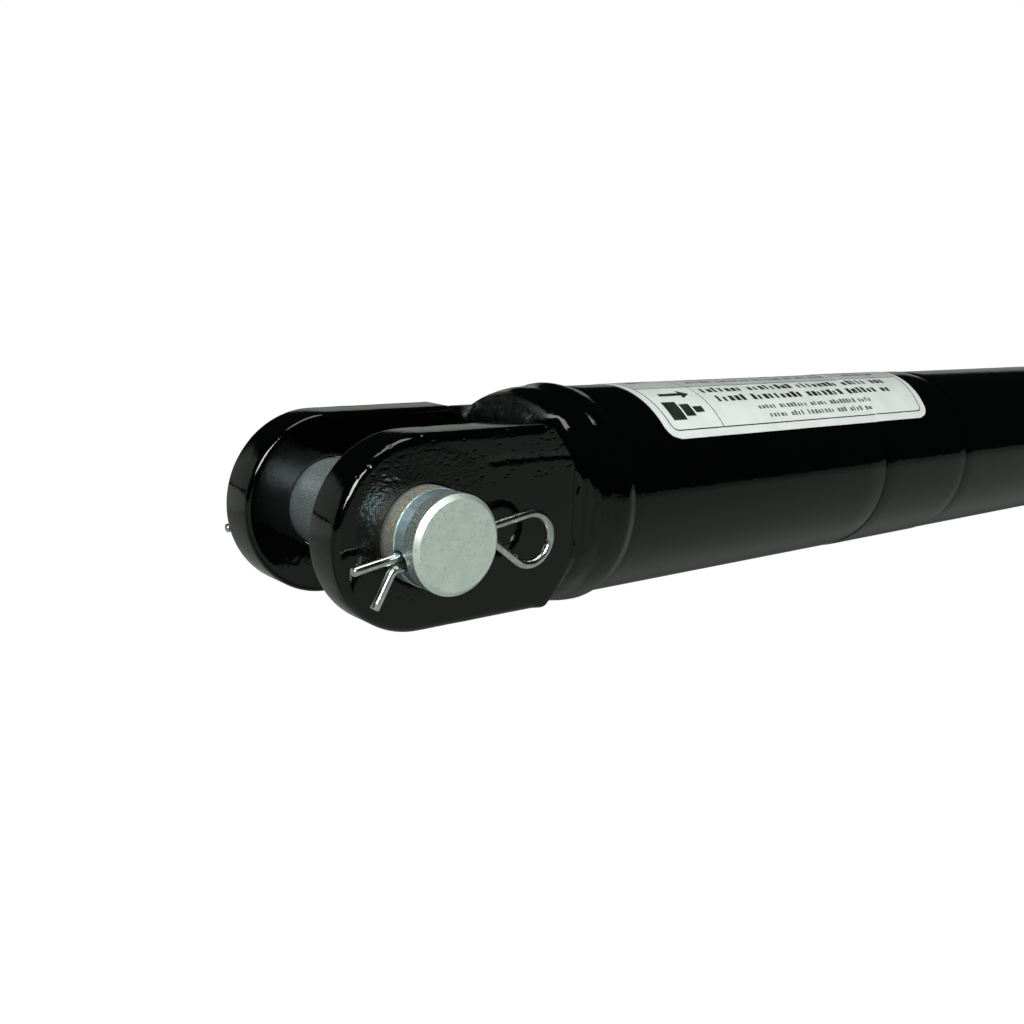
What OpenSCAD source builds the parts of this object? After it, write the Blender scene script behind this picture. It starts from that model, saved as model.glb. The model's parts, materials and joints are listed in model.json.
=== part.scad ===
// Telescopic hydraulic cylinder, two moving stages, single acting, with pinned clevises.
// Frame: origin on the base pin's axis, midway between the two ears. +X runs along the
// cylinder to the rod end, Y is the pin axis, +Z is up. All sizes are in millimetres.

/* [Overall] */
// Closed length from pin axis to pin axis
pin_to_pin = 609.6; // [608:0.1:700]
// Travel of each moving stage
stage_travel = 355.6; // [250:0.1:360]

/* [Tubes] */
// Outside diameter of the barrel
barrel_od = 63.5; // [63:0.1:65]
// Wall of the barrel and of the stage-one sleeve
tube_wall = 4.76; // [4.6:0.01:4.9]
// Radial space between a stage and the tube around it
stage_step = 4.765; // [4.7:0.005:4.8]
// Height of the turned land on the barrel
land_step = 0.25; // [0.1:0.05:0.4]
// Place along X where the land starts
land_x = 197.7; // [190:0.1:205]
// Length of the land
land_w = 52.6; // [50:0.1:60]

/* [Clevises] */
// Diameter of both clevis pins
pin_d = 25.4; // [25:0.1:25.6]
// Diameter of the hole in each ear
ear_hole_d = 26.2; // [26.1:0.05:26.8]
// Thickness of one ear plate
ear_t = 12.7; // [12:0.1:13]
// Gap between the two ears of a clevis
ear_gap = 31.75; // [31:0.05:33]
// Width of an ear and diameter of its round nose
ear_w = 50.8; // [50:0.1:52]
// Distance of the round nose's centre in front of the pin axis
nose_ahead = 0.8; // [0.5:0.1:1.5]
// Distance from the pin axis to the welded end of an ear
ear_len = 49.8; // [48:0.1:52]
// Chamfer on the long edges of an ear
ear_chamfer = 1.2; // [0.5:0.1:2]

/* [Clevis pins] */
// Length of a clevis pin
pin_len = 80.4; // [80:0.1:86]
// Distance that a clevis pin has slid toward the near ear
pin_slide = 2.2; // [1:0.1:2.5]
// Chamfer on the ends of a clevis pin
pin_chamfer = 1.2; // [0.5:0.1:1.5]
// Distance between the two split pins of a clevis pin
cotter_span = 65.6; // [65:0.1:68]
// Diameter of the cross hole for a split pin
cotter_hole_d = 6; // [5.8:0.1:6.4]
// Distance of the cross hole's axis below the clevis pin's axis
cotter_drop = 2.04; // [0:0.01:2.5]
// Slope of the cross hole in degrees
cotter_slope = 9.1; // [0:0.1:12]
// Wire diameter of a split pin
wire_d = 2.4; // [2:0.1:2.5]

/* [Port] */
// Place of the oil port along X
port_x = 105; // [100:1:160]
// Diameter of the port boss
boss_d = 31.75; // [28:0.05:34]
// Distance of the boss's open face from the cylinder's axis
boss_top = 47.6; // [44:0.1:50]
// Diameter of the port's threaded wall
port_d = 17.5; // [16:0.1:19]

/* [Colours] */
// Paint on the barrel, ears and boss
paint = "#161616";
// Zinc plating on the clevis pins and split pins
zinc = "#b9c0c4";
// Hard chrome on the moving stages
chrome = "#d8dadd";
// Seals and wipers
seal_red = "#7c3a2a";
// Guide bands
band_green = "#4f6b52";
// Blackened steel of the two glands
gland_grey = "#3a3c3e";
// Nitrile cord rings
nitrile = "#202020";
// Bronze foot rings
bronze = "#b08a4a";
// Steel stop rings
ring_steel = "#6a6d70";
// Decal film
label_white = "#e9ebe8";

/* [Hidden] */
$fn = 96;
barrel_r = barrel_od / 2;
bore_r = barrel_r - tube_wall;
sleeve_r = bore_r - stage_step;
sleeve_bore_r = sleeve_r - tube_wall;
rod_r = sleeve_bore_r - stage_step;
land_r = barrel_r + land_step;

// Chamfer on a round end under its clevis weld: radius at the face, and where it ends along X
prep_r = barrel_r - 4.15;
prep_x = ear_len + 7.2;
// Step that joins the end plug and the tube under the seam weld, and the weld's top
seam_lip = 2.5;
seam_r = barrel_r + 1.38;
// Oil way through the tube and the port boss
oil_way_r = 5;

ear_in = ear_gap / 2;
ear_out = ear_in + ear_t;
ear_r = ear_w / 2;
pin_r = pin_d / 2;
wire_r = wire_d / 2;

// Running clearance of a seal, band or gland on its chromed stage, and of a foot ring in its tube
run = 0.06;
// Depth that a foot ring or stop ring sits in its groove
ring_groove = 1.6;

// Base end, along X
seam_x = 61.5;
plug_face = 76;
sleeve_foot = plug_face + 1;
rod_foot = plug_face + 8;

// Front end, along X
barrel_end = 520;
collar_t = 8;
barrel_gland_x = 482;
sleeve_end = 532;
sleeve_gland_x = 498;
sleeve_collar_t = 4;
thread_depth = 1.61;

// Rings on the feet of the two stages
foot_x = 83;
foot_w = 14;
rod_foot_x = 90;
rod_foot_w = 10;
stop_w = 6;
sleeve_stop_x = barrel_gland_x - stage_travel - stop_w;
rod_stop_x = sleeve_gland_x - stage_travel - stop_w;

// Rod-end block, along X from the rod-end pin axis
block_t = 16.2;
block_face = pin_to_pin - ear_len - block_t;
rod_seat = 8;

// Grooves inside the glands: start from the gland's inner face, width, depth
band_groove = [8, 12, 1.7];
seal_groove = [24, 7, 3.1];
rod_band_groove = [6, 8, 1.4];
rod_seal_groove = [18, 6, 2.8];
wiper_w = 5;
wiper_depth = 3;

// Cord rings outside the glands: grooves' starts from the gland's inner face, width, cord radius
static_groove_x = 33;
rod_static_groove_x = 28;
static_groove_w = 3;
cord_r = 0.74;

// Turns a profile of [radius, x] points about the cylinder's axis
module turned(profile, sweep = 360) {
    rotate([0, 90, 0])
        rotate_extrude(angle = sweep)
            polygon(profile);
}

// A plain ring about the cylinder's axis
module ring(x, w, r_in, r_out) {
    turned([[r_in, x], [r_out, x], [r_out, x + w], [r_in, x + w]]);
}

// A round bar along Y, through the middle plane
module y_bar(r, len) {
    translate([0, len / 2, 0])
        rotate([90, 0, 0])
            cylinder(h = len, r = r);
}

// Places a base-end shape at the rod end, turned half a turn about Z
module at_rod_end() {
    translate([pin_to_pin, 0, 0])
        rotate([0, 0, 180])
            children();
}

// ---- Clevis -------------------------------------------------------------

// Straight part of an ear, seen along the pin, with its two cut corners
module ear_tail() {
    corner_x = ear_len - 8.8;
    step_x = ear_len - 1.8;
    step_z = 16.5;
    root_z = 13.5;
    polygon([
        [-nose_ahead, -ear_r], [corner_x, -ear_r], [step_x, -step_z], [ear_len, -root_z],
        [ear_len, root_z], [step_x, step_z], [corner_x, ear_r], [-nose_ahead, ear_r]
    ]);
}

// One ear, centred on the middle plane, with chamfered long edges and nose
module ear_plate() {
    h = ear_t / 2;
    c = ear_chamfer;
    hole_r = ear_hole_d / 2;
    lip = 0.5;
    difference() {
        rotate([90, 0, 0])
            translate([0, 0, -h])
                linear_extrude(ear_t) {
                    translate([-nose_ahead, 0])
                        circle(r = ear_r);
                    ear_tail();
                }
        y_bar(hole_r, ear_t + 2);
        for (side = [-1, 1])
            mirrored(side) {
                // Chamfer round the nose
                translate([-nose_ahead, 0, 0])
                    rotate([90, 0, 0])
                        rotate([0, 0, 90])
                            rotate_extrude(angle = 180)
                                polygon([[ear_r + 1, -h - 1], [ear_r + 1, c - h + 1], [ear_r - c - 1, -h - 1]]);
                // Chamfer along the two straight edges
                for (edge = [-1, 1])
                    translate([(ear_len - nose_ahead) / 2, h, edge * ear_r])
                        rotate([45, 0, 0])
                            cube([ear_len + nose_ahead + 1, c * sqrt(2), c * sqrt(2)], center = true);
            }
        // Mouth of the pin hole, broken on both faces
        for (side = [-1, 1])
            mirrored(side)
                translate([0, h - lip, 0])
                    rotate([-90, 0, 0])
                        cylinder(h = 2 * lip, r1 = hole_r - 0.05, r2 = hole_r - 0.05 + 2 * lip);
    }
}

// Mirrors across the middle plane when side is -1
module mirrored(side) {
    if (side < 0) {
        mirror([0, 1, 0])
            children();
    } else {
        children();
    }
}

module ear_at(side) {
    translate([0, side * (ear_in + ear_t / 2), 0])
        ear_plate();
}

// Weld that closes the corners between the ears and the round end behind them
module clevis_weld_shape() {
    inner_r = 20;
    root_r = 29.2;
    crest = barrel_r + 0.4;
    heap = 4.6;
    fillet_len = 10.2;
    fillet_rise = 4.67;
    difference() {
        // Fills the cut corners of the ears, then rolls over the rim of the round end
        turned([
            [inner_r, ear_len - 3.2], [24.5, ear_len - 8], [root_r, ear_len - 8],
            [root_r, ear_len - 3.4], [crest - 0.6, ear_len + 2], [crest, ear_len + 6],
            [crest, seam_x], [barrel_r, seam_x], [barrel_r, prep_x], [prep_r, ear_len],
            [inner_r, ear_len]
        ]);
        // The heap between the ears is lower
        translate([ear_len - heap - 10, 0, 0])
            cube([20, ear_gap, barrel_od + 10], center = true);
        for (side = [-1, 1]) {
            // The ear itself
            translate([0, side * (ear_in + ear_t / 2), 0])
                rotate([90, 0, 0])
                    translate([0, 0, -ear_t / 2])
                        linear_extrude(ear_t)
                            ear_tail();
            // Nothing lies outside the ear's flat face and the fillet behind it
            mirrored(side)
                linear_extrude(barrel_od + 10, center = true)
                    polygon([
                        [ear_len - 20, ear_out], [ear_len, ear_out],
                        [ear_len + fillet_len, ear_out + fillet_rise],
                        [ear_len + fillet_len, ear_out + 12], [ear_len - 20, ear_out + 12]
                    ]);
        }
    }
}

// ---- Barrel, base end ---------------------------------------------------

module base_ear_near() {
    color(paint)
        ear_at(-1);
}

module base_ear_far() {
    color(paint)
        ear_at(1);
}

module base_plug() {
    color(paint)
        turned([
            [0, ear_len], [prep_r, ear_len], [barrel_r, prep_x], [barrel_r, seam_x],
            [bore_r, seam_x + seam_lip],
            [bore_r, plug_face - 1], [bore_r - 1, plug_face], [0, plug_face]
        ]);
}

module base_clevis_weld() {
    color(paint)
        clevis_weld_shape();
}

module base_seam_weld() {
    color(paint)
        turned([
            [bore_r, seam_x + seam_lip], [barrel_r, seam_x], [barrel_r + 1.1, seam_x],
            [seam_r, seam_x + 2], [seam_r, seam_x + 4.2], [barrel_r, seam_x + 10.5],
            [barrel_r, seam_x + 7.5], [bore_r, seam_x + seam_lip + 1]
        ]);
}

module barrel_tube() {
    thread_r = bore_r + thread_depth;
    color(paint)
        difference() {
            turned([
                [bore_r, seam_x + seam_lip + 1], [barrel_r, seam_x + 7.5],
                [barrel_r, land_x - land_step], [land_r, land_x],
                [land_r, land_x + land_w], [barrel_r, land_x + land_w + land_step],
                [barrel_r, barrel_end - 0.8], [barrel_r - 0.8, barrel_end],
                [thread_r, barrel_end], [thread_r, barrel_gland_x], [bore_r, barrel_gland_x]
            ]);
            // Oil way under the port boss
            translate([port_x, 0, 0])
                rotate([-90, 0, 0])
                    cylinder(h = boss_top, r = oil_way_r);
        }
}

// The decal wraps over the barrel and steps up on to the land
module label() {
    film = 0.15;
    label_x = 90;
    label_end = 236;
    label_low = 34.4;
    label_sweep = 87.6;
    color(label_white)
        rotate([270 - label_low, 0, 0])
            turned([
                [barrel_r, label_x], [barrel_r + film, label_x],
                [barrel_r + film, land_x - land_step], [land_r + film, land_x],
                [land_r + film, label_end], [land_r, label_end],
                [land_r, land_x], [barrel_r, land_x - land_step]
            ], -label_sweep);
}

module port_boss() {
    hole_floor = barrel_r + 1.4;
    lip = 1.2;
    color(paint)
        translate([port_x, 0, 0])
            rotate([-90, 0, 0])
                difference() {
                    cylinder(h = boss_top, r = boss_d / 2);
                    rotate([0, 90, 0])
                        cylinder(h = boss_d + 2, r = barrel_r, center = true);
                    translate([0, 0, hole_floor])
                        cylinder(h = boss_top, r = port_d / 2);
                    cylinder(h = boss_top, r = oil_way_r);
                    translate([0, 0, boss_top - lip])
                        cylinder(h = lip, r1 = port_d / 2, r2 = port_d / 2 + lip);
                }
}

// Fillet round the boss's foot, following the barrel
module port_weld() {
    foot = 24;
    rise = 12;
    spread = 5;
    color(paint)
        translate([port_x, 0, 0])
            rotate([-90, 0, 0])
                difference() {
                    translate([0, 0, foot])
                        cylinder(h = rise, r1 = boss_d / 2 + spread, r2 = boss_d / 2 + 0.2);
                    cylinder(h = boss_top, r = boss_d / 2);
                    rotate([0, 90, 0])
                        cylinder(h = boss_d + 20, r = barrel_r, center = true);
                }
}

// ---- Barrel, front end --------------------------------------------------

module barrel_gland() {
    r = sleeve_r + run;
    x = barrel_gland_x;
    end = barrel_end + collar_t;
    thread_r = bore_r + thread_depth;
    slot_w = 6;
    slot_depth = 2.5;
    color(gland_grey)
        difference() {
            turned([
                [r, x], [thread_r - 1, x], [thread_r, x + 1], [thread_r, barrel_end],
                [barrel_r - 0.8, barrel_end], [barrel_r, barrel_end + 0.8],
                [barrel_r, end - 1.5], [barrel_r - 1.5, end], [r, end]
            ]);
            ring(x + band_groove[0], band_groove[1], r - 1, sleeve_r + band_groove[2]);
            ring(x + seal_groove[0], seal_groove[1], r - 1, sleeve_r + seal_groove[2]);
            ring(end - wiper_w, wiper_w + 1, r - 1, sleeve_r + wiper_depth);
            ring(x + static_groove_x, static_groove_w, thread_r - 1.5, thread_r + 1);
            // Hook-spanner slots
            for (turn = [0:90:270])
                rotate([turn + 45, 0, 0])
                    translate([barrel_end + 1.5, -slot_w / 2, barrel_r - slot_depth])
                        cube([collar_t, slot_w, 2 * slot_depth]);
        }
}

module barrel_guide_band() {
    color(band_green)
        ring(barrel_gland_x + band_groove[0] + 0.1, band_groove[1] - 0.2,
             sleeve_r + run, sleeve_r + band_groove[2]);
}

module barrel_seal() {
    lip_seal(barrel_gland_x + seal_groove[0] + 0.2, seal_groove[1] - 0.4, sleeve_r, seal_groove[2]);
}

module barrel_wiper() {
    wiper(barrel_end + collar_t - wiper_w, sleeve_r);
}

module barrel_static_seal() {
    color(nitrile)
        turned_cord(barrel_gland_x + static_groove_x + static_groove_w / 2,
                    bore_r + thread_depth - cord_r - 0.01, cord_r);
}

// U-section rod seal with its two lips toward the oil
module lip_seal(x, w, r, depth) {
    color(seal_red)
        turned([
            [r + run, x], [r + run + 0.5, x], [r + depth / 2, x + w / 2],
            [r + depth - 0.5, x], [r + depth, x], [r + depth, x + w], [r + run, x + w]
        ]);
}

// Wiper ring whose lip stands a little proud of the gland's face
module wiper(x, r) {
    color(seal_red)
        turned([
            [r + run, x], [r + wiper_depth, x], [r + wiper_depth, x + wiper_w - 0.5],
            [r + 1.4, x + wiper_w - 0.5], [r + 0.7, x + wiper_w + 1], [r + run, x + wiper_w + 1]
        ]);
}

// Round-section ring
module turned_cord(x, r, section_r) {
    rotate([0, 90, 0])
        translate([0, 0, x])
            rotate_extrude()
                translate([r, 0])
                    circle(r = section_r, $fn = 24);
}

// ---- Stage one ----------------------------------------------------------

module sleeve_tube() {
    thread_r = sleeve_bore_r + thread_depth;
    color(chrome)
        difference() {
            turned([
                [sleeve_bore_r, sleeve_foot], [sleeve_r - 0.6, sleeve_foot],
                [sleeve_r, sleeve_foot + 0.6], [sleeve_r, sleeve_end - 0.6],
                [sleeve_r - 0.6, sleeve_end], [thread_r, sleeve_end],
                [thread_r, sleeve_gland_x], [sleeve_bore_r, sleeve_gland_x]
            ]);
            ring(foot_x, foot_w, sleeve_r - ring_groove, sleeve_r + 1);
            ring(sleeve_stop_x, stop_w, sleeve_r - ring_groove, sleeve_r + 1);
        }
}

// Bronze ring that guides the stage's foot, notched so that oil passes it
module foot_ring(x, w, tube_r, stage_r, notch_w) {
    floor_r = stage_r - ring_groove + run;
    difference() {
        ring(x + 0.1, w - 0.2, floor_r, tube_r - run);
        for (turn = [0:90:270])
            rotate([turn, 0, 0])
                translate([x - 1, -notch_w / 2, stage_r + 1])
                    cube([w + 2, notch_w, tube_r]);
    }
}

module sleeve_foot_ring() {
    color(bronze)
        foot_ring(foot_x, foot_w, bore_r, sleeve_r, 6);
}

module sleeve_stop_ring() {
    color(ring_steel)
        ring(sleeve_stop_x, stop_w, sleeve_r - ring_groove, bore_r - 0.6);
}

module sleeve_gland() {
    r = rod_r + run;
    x = sleeve_gland_x;
    end = sleeve_end + sleeve_collar_t;
    thread_r = sleeve_bore_r + thread_depth;
    hole_depth = 3;
    color(gland_grey)
        difference() {
            turned([
                [r, x], [thread_r - 1, x], [thread_r, x + 1], [thread_r, sleeve_end],
                [sleeve_r - 0.6, sleeve_end], [sleeve_r - 0.3, sleeve_end + 0.3],
                [sleeve_r - 0.3, end - 1], [sleeve_r - 1.3, end], [r, end]
            ]);
            ring(x + rod_band_groove[0], rod_band_groove[1], r - 1, rod_r + rod_band_groove[2]);
            ring(x + rod_seal_groove[0], rod_seal_groove[1], r - 1, rod_r + rod_seal_groove[2]);
            ring(end - wiper_w, wiper_w + 1, r - 1, rod_r + wiper_depth);
            ring(x + rod_static_groove_x, static_groove_w, thread_r - 1.5, thread_r + 1);
            // Pin-spanner holes
            for (turn = [0:90:270])
                rotate([turn + 45, 0, 0])
                    translate([end - hole_depth, 0, sleeve_r - 3.6])
                        rotate([0, 90, 0])
                            cylinder(h = hole_depth + 1, r = 1.5, $fn = 32);
        }
}

module sleeve_guide_band() {
    color(band_green)
        ring(sleeve_gland_x + rod_band_groove[0] + 0.1, rod_band_groove[1] - 0.2,
             rod_r + run, rod_r + rod_band_groove[2]);
}

module sleeve_seal() {
    lip_seal(sleeve_gland_x + rod_seal_groove[0] + 0.2, rod_seal_groove[1] - 0.4,
             rod_r, rod_seal_groove[2]);
}

module sleeve_wiper() {
    wiper(sleeve_end + sleeve_collar_t - wiper_w, rod_r);
}

module sleeve_static_seal() {
    color(nitrile)
        turned_cord(sleeve_gland_x + rod_static_groove_x + static_groove_w / 2,
                    sleeve_bore_r + thread_depth - cord_r - 0.01, cord_r);
}

// ---- Stage two ----------------------------------------------------------

module plunger() {
    end = block_face + rod_seat;
    color(chrome)
        difference() {
            turned([
                [0, rod_foot], [rod_r - 1, rod_foot], [rod_r, rod_foot + 1],
                [rod_r, end], [0, end]
            ]);
            ring(rod_foot_x, rod_foot_w, rod_r - ring_groove, rod_r + 1);
            ring(rod_stop_x, stop_w, rod_r - ring_groove, rod_r + 1);
        }
}

module plunger_foot_ring() {
    color(bronze)
        foot_ring(rod_foot_x, rod_foot_w, sleeve_bore_r, rod_r, 5);
}

module plunger_stop_ring() {
    color(ring_steel)
        ring(rod_stop_x, stop_w, rod_r - ring_groove, sleeve_bore_r - 0.6);
}

// Fillet weld between the plunger and the block
module plunger_weld() {
    leg = 4.5;
    color(paint)
        turned([
            [rod_r, block_face - leg], [rod_r + 0.45 * leg, block_face - 0.7 * leg],
            [rod_r + 0.8 * leg, block_face - 0.35 * leg], [rod_r + leg, block_face],
            [rod_r, block_face]
        ]);
}

module rod_block() {
    end = block_face + block_t;
    color(paint)
        turned([
            [0, block_face + rod_seat], [rod_r, block_face + rod_seat], [rod_r, block_face],
            [barrel_r - 1.5, block_face], [barrel_r, block_face + 1.5],
            [barrel_r, end + ear_len - prep_x], [prep_r, end], [0, end]
        ]);
}

module rod_ear_near() {
    color(paint)
        at_rod_end()
            ear_at(1);
}

module rod_ear_far() {
    color(paint)
        at_rod_end()
            ear_at(-1);
}

module rod_clevis_weld() {
    color(paint)
        at_rod_end()
            clevis_weld_shape();
}

// ---- Clevis pins and split pins -----------------------------------------

// Cross holes and split pins share this frame: X along the hole, origin at its middle
module cotter_frame(side) {
    translate([0, side * cotter_span / 2 - pin_slide, -cotter_drop / cos(cotter_slope)])
        rotate([0, -cotter_slope, 0])
            children();
}

module clevis_pin() {
    h = pin_len / 2;
    c = pin_chamfer;
    relief = 0.2;
    relief_from = 30.8;
    relief_to = 35;
    difference() {
        translate([0, -pin_slide, 0])
            rotate([90, 0, 0])
                rotate_extrude()
                    polygon([
                        [0, -h], [pin_r - c, -h], [pin_r, c - h],
                        [pin_r, -relief_to], [pin_r - relief, -relief_to],
                        [pin_r - relief, -relief_from], [pin_r, -relief_from],
                        [pin_r, relief_from], [pin_r - relief, relief_from],
                        [pin_r - relief, relief_to], [pin_r, relief_to],
                        [pin_r, h - c], [pin_r - c, h], [0, h]
                    ]);
        for (side = [-1, 1])
            cotter_frame(side)
                rotate([0, 90, 0])
                    cylinder(h = 2 * pin_d, r = cotter_hole_d / 2, center = true);
    }
}

// A straight length of wire between two points of the XZ plane
module wire(from, to) {
    d = to - from;
    gap = 0.1;
    translate([from[0], 0, from[1]])
        rotate([0, atan2(d[0], d[1]), 0])
            translate([0, 0, gap])
                cylinder(h = norm(d) - 2 * gap, r = wire_r, $fn = 32);
}

// A bend of the wire about a centre in the XZ plane, angles from +X toward +Z,
// with a ball at each end that joins it to the straight wire
module wire_bend(centre, r, from, sweep) {
    overlap = 0.06;
    translate([centre[0], 0, centre[1]])
        rotate([90, 0, 0])
            rotate([0, 0, from]) {
                rotate_extrude(angle = sweep)
                    translate([r, 0])
                        circle(r = wire_r, $fn = 32);
                for (turn = [0, sweep])
                    rotate([0, 0, turn])
                        translate([r, 0, 0])
                            sphere(r = wire_r + overlap, $fn = 32);
            }
}

// A split pin: one straight leg, a loop, and a second leg bent down beyond the pin
module cotter() {
    leg_z = 1.35;
    loop_x = 28.3;
    loop_r = 6.85;
    loop_z = leg_z - loop_r;
    long_leg = -25.4;
    join_x = 13.4;
    join_r = 3;
    bend_x = -13;
    bend_r = 3;
    bend = 52;
    short_leg = 9;
    // Slope of the neck that is tangent to the loop and to the knee at the lower leg
    neck_run = loop_x - join_x;
    neck_drop = -leg_z - join_r - loop_z;
    neck = asin((loop_r + join_r) / norm([neck_run, neck_drop])) + atan2(neck_drop, neck_run);
    neck_start = [loop_x, loop_z] - loop_r * [sin(neck), cos(neck)];
    knee = [join_x, -leg_z - join_r];
    neck_end = knee + join_r * [sin(neck), cos(neck)];
    bend_end = [bend_x, -leg_z - bend_r] + bend_r * [-sin(bend), cos(bend)];
    // Upper leg and loop
    wire([long_leg, leg_z], [loop_x, leg_z]);
    wire_bend([loop_x, loop_z], loop_r, -90 - neck, 180 + neck);
    // Neck back to the lower leg
    wire(neck_start, neck_end);
    wire_bend(knee, join_r, 90 - neck, neck);
    // Lower leg and its bent end
    wire([join_x, -leg_z], [bend_x, -leg_z]);
    wire_bend([bend_x, -leg_z - bend_r], bend_r, 90, bend);
    wire(bend_end, bend_end + short_leg * [-cos(bend), -sin(bend)]);
}

// The far split pin sits the other way up in its hole
module cotter_pair() {
    cotter_frame(-1)
        cotter();
    cotter_frame(1)
        rotate([180, 0, 0])
            cotter();
}

module base_pin() {
    color(zinc)
        clevis_pin();
}

module base_cotters() {
    color(zinc)
        cotter_pair();
}

module rod_pin() {
    color(zinc)
        at_rod_end()
            clevis_pin();
}

module rod_cotters() {
    color(zinc)
        at_rod_end()
            cotter_pair();
}

base_ear_near();
base_ear_far();
base_plug();
base_clevis_weld();
base_seam_weld();
barrel_tube();
label();
port_boss();
port_weld();
barrel_gland();
barrel_guide_band();
barrel_seal();
barrel_wiper();
barrel_static_seal();
sleeve_tube();
sleeve_foot_ring();
sleeve_stop_ring();
sleeve_gland();
sleeve_guide_band();
sleeve_seal();
sleeve_wiper();
sleeve_static_seal();
plunger();
plunger_foot_ring();
plunger_stop_ring();
plunger_weld();
rod_block();
rod_ear_near();
rod_ear_far();
rod_clevis_weld();
base_pin();
base_cotters();
rod_pin();
rod_cotters();
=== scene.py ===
"""Looks of the telescopic hydraulic cylinder: paint, welds, label, zinc pins, split pins, chrome stages."""
import json
import math
import random

import bmesh
import bpy
from mathutils import Matrix, Vector, noise


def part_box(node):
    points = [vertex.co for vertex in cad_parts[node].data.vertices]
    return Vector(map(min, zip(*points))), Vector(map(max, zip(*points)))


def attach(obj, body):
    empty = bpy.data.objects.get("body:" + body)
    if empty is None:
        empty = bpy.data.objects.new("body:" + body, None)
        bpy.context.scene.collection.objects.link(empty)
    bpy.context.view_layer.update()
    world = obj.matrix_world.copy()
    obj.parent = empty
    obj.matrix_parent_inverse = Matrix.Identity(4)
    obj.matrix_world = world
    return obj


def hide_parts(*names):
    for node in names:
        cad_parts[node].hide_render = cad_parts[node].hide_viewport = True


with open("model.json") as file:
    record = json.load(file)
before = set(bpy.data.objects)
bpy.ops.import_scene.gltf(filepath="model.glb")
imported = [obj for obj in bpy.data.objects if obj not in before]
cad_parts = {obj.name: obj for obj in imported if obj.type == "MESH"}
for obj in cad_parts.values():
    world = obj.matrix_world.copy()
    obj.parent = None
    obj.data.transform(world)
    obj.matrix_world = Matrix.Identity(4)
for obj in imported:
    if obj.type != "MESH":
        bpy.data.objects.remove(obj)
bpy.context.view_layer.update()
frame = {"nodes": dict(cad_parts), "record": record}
scene = bpy.context.scene
MM = 0.001
random.seed(7)

# ---- Sizes, in millimetres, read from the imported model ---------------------


def box_mm(node):
    """Low and high corners of a CAD node's box, in millimetres."""
    low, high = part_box(node)
    return [v * 1000 for v in low], [v * 1000 for v in high]


tube_low, tube_high = box_mm("barrel_tube")
ear_low, ear_high = box_mm("base_ear_near")
pin_low, pin_high = box_mm("base_pin")
seam_low, seam_high = box_mm("base_seam_weld")
block_low, block_high = box_mm("rod_block")
boss_low, boss_high = box_mm("port_boss")

BARREL_R = box_mm("base_plug")[1][2]
LAND_R = tube_high[2]
BARREL_END = tube_high[0]
SEAM_R = seam_high[2]
EAR_R = ear_high[2]
NOSE_X = ear_low[0] + EAR_R
EAR_LEN = ear_high[0]
EAR_OUT = -ear_low[1]
EAR_IN = -ear_high[1]
PIN_R = pin_high[0]
PORT_X = (boss_low[0] + boss_high[0]) / 2
BOSS_R = (boss_high[0] - boss_low[0]) / 2
BOSS_TOP = boss_high[1]
PIN_MIDDLE = (pin_low[1] + pin_high[1]) / 2
SEAM_X = seam_low[0]
SEAM_END = seam_high[0]
mounts = {mount["name"]: mount for mount in frame["record"]["mounts"]}
PORT_R = mounts["oil_port"]["dims"]["r_mm"]
ROD_PIN_X = mounts["rod_clevis"]["pos_m"][0] * 1000

# Sizes inside the CAD's outlines, as the part's source has them
EAR_HOLE_R = 13.1
EAR_CORNER_Z = (13.5, 16.5)  # heights where an ear's corner starts to be cut and where the cut bends
EAR_CORNER_X = (1.8, 8.8)  # how far the corner is cut back at the bend and at the top
BORE_R = 26.99
THREAD_R = 28.6  # barrel's mouth, where the gland sits
THREAD_LEN = 38
LAND_X = (197.7, 250.3)  # where the turned land starts and stops
PORT_FLOOR = 1.4  # bottom of the port above the barrel's surface
OIL_WAY_R = 5
COTTER_APART = 32.8  # each split pin from the middle of its clevis pin
COTTER_DROP = 2.04  # split pins below the clevis pin's axis
COTTER_SLOPE = 9.1  # degrees
WIRE_R = 1.2
PREP_R = BARREL_R - 4.15  # plug where the clevis weld sits on it
PLUG_SIDE_R = 19.4  # where the clevis weld's front starts on the plug's face
FRONT_RIM_R = 29.2  # clevis weld's front rim, at its lowest

# ---- Camera -----------------------------------------------------------------


def make_camera():
    """The photo's camera, solved from the base clevis, the pin and the tube."""
    place = Vector((-164.04, -256.30, 65.36)) * MM
    yaw, pitch, roll = (math.radians(a) for a in (40.10, -11.83, 2.40))
    ahead = Vector((math.sin(yaw) * math.cos(pitch), math.cos(yaw) * math.cos(pitch), math.sin(pitch)))
    level = Vector((math.cos(yaw), -math.sin(yaw), 0))
    over = level.cross(ahead)
    right = level * math.cos(roll) + over * math.sin(roll)
    up = over * math.cos(roll) - level * math.sin(roll)
    cam = bpy.data.objects.new("camera", bpy.data.cameras.new("camera"))
    scene.collection.objects.link(cam)
    turn = Matrix((right, up, -ahead)).transposed().to_4x4()
    cam.matrix_world = Matrix.Translation(place) @ turn
    cam.data.sensor_width = 36
    cam.data.lens = 40.63
    cam.data.clip_start = 0.02
    cam.data.clip_end = 200
    scene.camera = cam


make_camera()

# ---- Mesh helpers -------------------------------------------------------------


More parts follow.
